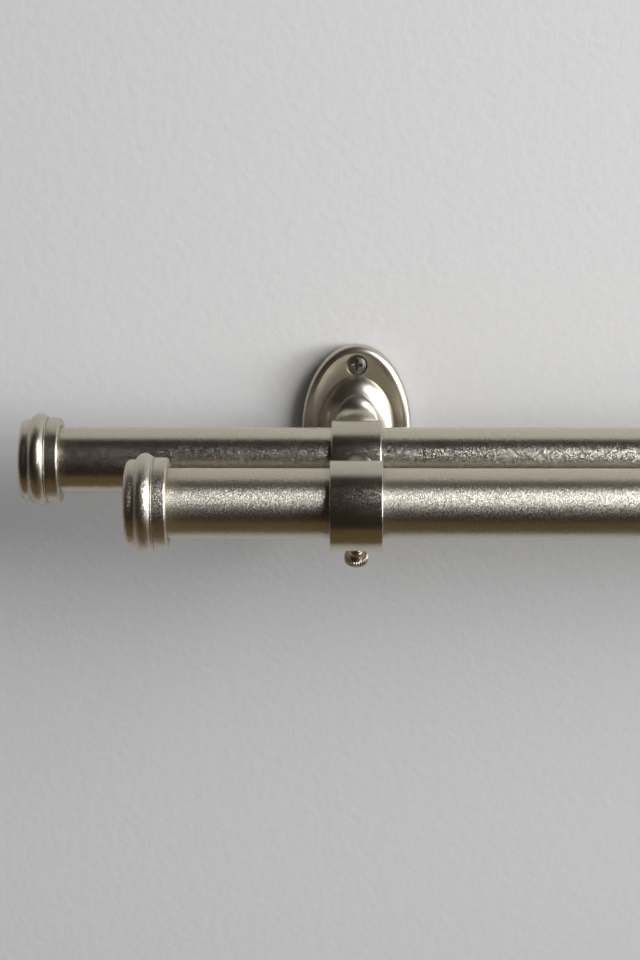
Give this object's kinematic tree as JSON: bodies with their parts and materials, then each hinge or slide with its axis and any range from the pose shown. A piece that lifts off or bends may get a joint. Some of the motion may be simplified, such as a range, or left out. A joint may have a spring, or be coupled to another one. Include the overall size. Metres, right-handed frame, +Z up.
{
  "type": "double curtain pole",
  "caption": "Wall-mounted double curtain pole in satin nickel: rear and front round poles with turned end caps, held in ring brackets on oval wall plates.",
  "frame": {"origin": "on the wall plane, midway between the two brackets, at the height of their stems", "axes": "+X along the poles to the right, +Y into the wall, +Z up"},
  "size_m": [0.9078, 0.1713, 0.0704],
  "materials": {
    "pole_nickel": "brushed satin nickel",
    "cap_nickel": "satin nickel, turned",
    "plate_nickel": "satin nickel, cast",
    "rod_nickel": "satin nickel",
    "ring_nickel": "fine brushed satin nickel",
    "thumb_nickel": "nickel, knurled",
    "wall_screw_steel": "zinc plated",
    "dark_steel": "black oxide"
  },
  "bodies": {
    "brackets": {"left_wall_plate": "plate_nickel", "left_plate_bolt": "dark_steel", "left_upper_wall_screw": "wall_screw_steel", "left_lower_wall_screw": "wall_screw_steel", "left_stem": "rod_nickel", "left_rear_ring": "ring_nickel", "left_link": "rod_nickel", "left_front_ring": "ring_nickel", "right_wall_plate": "plate_nickel", "right_plate_bolt": "dark_steel", "right_upper_wall_screw": "wall_screw_steel", "right_lower_wall_screw": "wall_screw_steel", "right_stem": "rod_nickel", "right_rear_ring": "ring_nickel", "right_link": "rod_nickel", "right_front_ring": "ring_nickel"},
    "rear_pole_set": {"rear_pole": "pole_nickel", "rear_left_end_cap": "cap_nickel", "rear_left_cap_grub_screw": "dark_steel", "rear_right_end_cap": "cap_nickel", "rear_right_cap_grub_screw": "dark_steel"},
    "front_pole_set": {"front_pole": "pole_nickel", "front_left_end_cap": "cap_nickel", "front_left_cap_grub_screw": "dark_steel", "front_right_end_cap": "cap_nickel", "front_right_cap_grub_screw": "dark_steel"},
    "left_rear_thumb_screw_turn": {"left_rear_thumb_screw": "thumb_nickel"},
    "left_front_thumb_screw_turn": {"left_front_thumb_screw": "thumb_nickel"},
    "right_rear_thumb_screw_turn": {"right_rear_thumb_screw": "thumb_nickel"},
    "right_front_thumb_screw_turn": {"right_front_thumb_screw": "thumb_nickel"}
  },
  "joints": [
    {"name": "rear_pole_slide", "type": "slide", "parent": "brackets", "child": "rear_pole_set", "axis": [1, 0, 0], "range_m": [-0.1035, 0.1035]},
    {"name": "front_pole_slide", "type": "slide", "parent": "brackets", "child": "front_pole_set", "axis": [1, 0, 0], "range_m": [-0.0575, 0.0575]},
    {"name": "left_rear_thumb_screw_turns", "type": "hinge", "parent": "brackets", "child": "left_rear_thumb_screw_turn", "pos_m": [-0.325, -0.05715, 0], "axis": [0, 0.5, -0.866], "range_deg": [0, 1080]},
    {"name": "left_front_thumb_screw_turns", "type": "hinge", "parent": "brackets", "child": "left_front_thumb_screw_turn", "pos_m": [-0.325, -0.12065, 0], "axis": [0, 0.5, -0.866], "range_deg": [0, 1080]},
    {"name": "right_rear_thumb_screw_turns", "type": "hinge", "parent": "brackets", "child": "right_rear_thumb_screw_turn", "pos_m": [0.325, -0.05715, 0], "axis": [0, 0.5, -0.866], "range_deg": [0, 1080]},
    {"name": "right_front_thumb_screw_turns", "type": "hinge", "parent": "brackets", "child": "right_front_thumb_screw_turn", "pos_m": [0.325, -0.12065, 0], "axis": [0, 0.5, -0.866], "range_deg": [0, 1080]}
  ]
}
